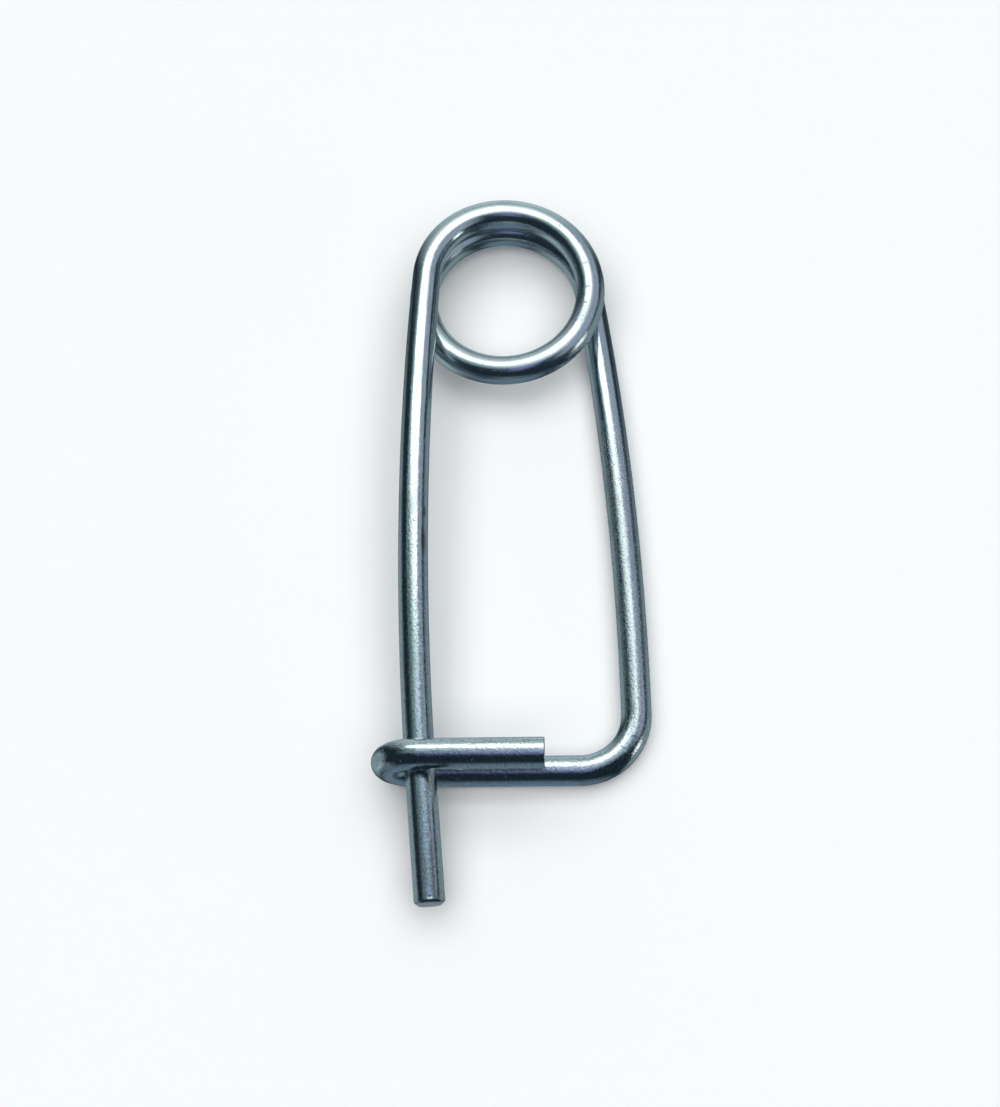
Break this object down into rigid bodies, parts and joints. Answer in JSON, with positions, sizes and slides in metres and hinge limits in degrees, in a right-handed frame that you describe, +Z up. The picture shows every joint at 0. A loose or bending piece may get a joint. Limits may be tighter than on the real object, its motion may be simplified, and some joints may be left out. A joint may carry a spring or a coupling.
{
  "type": "hitch pin lock",
  "caption": "Coiled tension safety pin in plated spring wire: a straight pin leg springs into a hook on the cross bar, to lock a hitch pin.",
  "frame": {"origin": "on the surface that the pin lies on, under the middle of its bounding box", "axes": "the pin lies on its back: +Y up the legs from the tip towards the coil, +Z up along the coil's axis, +X along the cross bar from the hook to the back leg"},
  "size_m": [0.0434, 0.12, 0.015],
  "materials": {
    "zinc_plate": "bright zinc plate with a clear blue passivate over smooth drawn spring wire"
  },
  "bodies": {
    "latch_frame": {"back_bend": "zinc_plate", "back_leg": "zinc_plate", "corner_bend": "zinc_plate", "cross_bar": "zinc_plate", "hook_bend": "zinc_plate", "hook_return": "zinc_plate"},
    "pin_arm": {"pin_bend": "zinc_plate", "pin_leg": "zinc_plate", "pin_tip": "zinc_plate"},
    "coil_front": {"coil_front_arc": "zinc_plate"},
    "coil_lower": {"coil_lower_arc": "zinc_plate"},
    "coil_rear": {"coil_rear_arc": "zinc_plate"}
  },
  "joints": [
    {"name": "leg_squeeze", "type": "hinge", "parent": "latch_frame", "child": "pin_arm", "pos_m": [-0.0008, 0.04349, 0.0103], "axis": [0, 0, 1], "range_deg": [0, 17], "stiffness_Nm_per_rad": 25, "springref_deg": -3.44},
    {"name": "coil_front_wind", "type": "hinge", "parent": "latch_frame", "child": "coil_front", "pos_m": [-0.0008, 0.04349, 0.0084], "axis": [0, 0, 1], "range_deg": [0, 14.18]},
    {"name": "coil_lower_wind", "type": "hinge", "parent": "latch_frame", "child": "coil_lower", "pos_m": [-0.0008, 0.04349, 0.0061], "axis": [0, 0, 1], "range_deg": [0, 8.51]},
    {"name": "coil_rear_wind", "type": "hinge", "parent": "latch_frame", "child": "coil_rear", "pos_m": [-0.0008, 0.04349, 0.0037], "axis": [0, 0, 1], "range_deg": [0, 2.84]}
  ],
  "couplings": [
    {"joint": "coil_front_wind", "follows": "leg_squeeze", "ratio": 0.83333},
    {"joint": "coil_lower_wind", "follows": "leg_squeeze", "ratio": 0.5},
    {"joint": "coil_rear_wind", "follows": "leg_squeeze", "ratio": 0.16667}
  ]
}
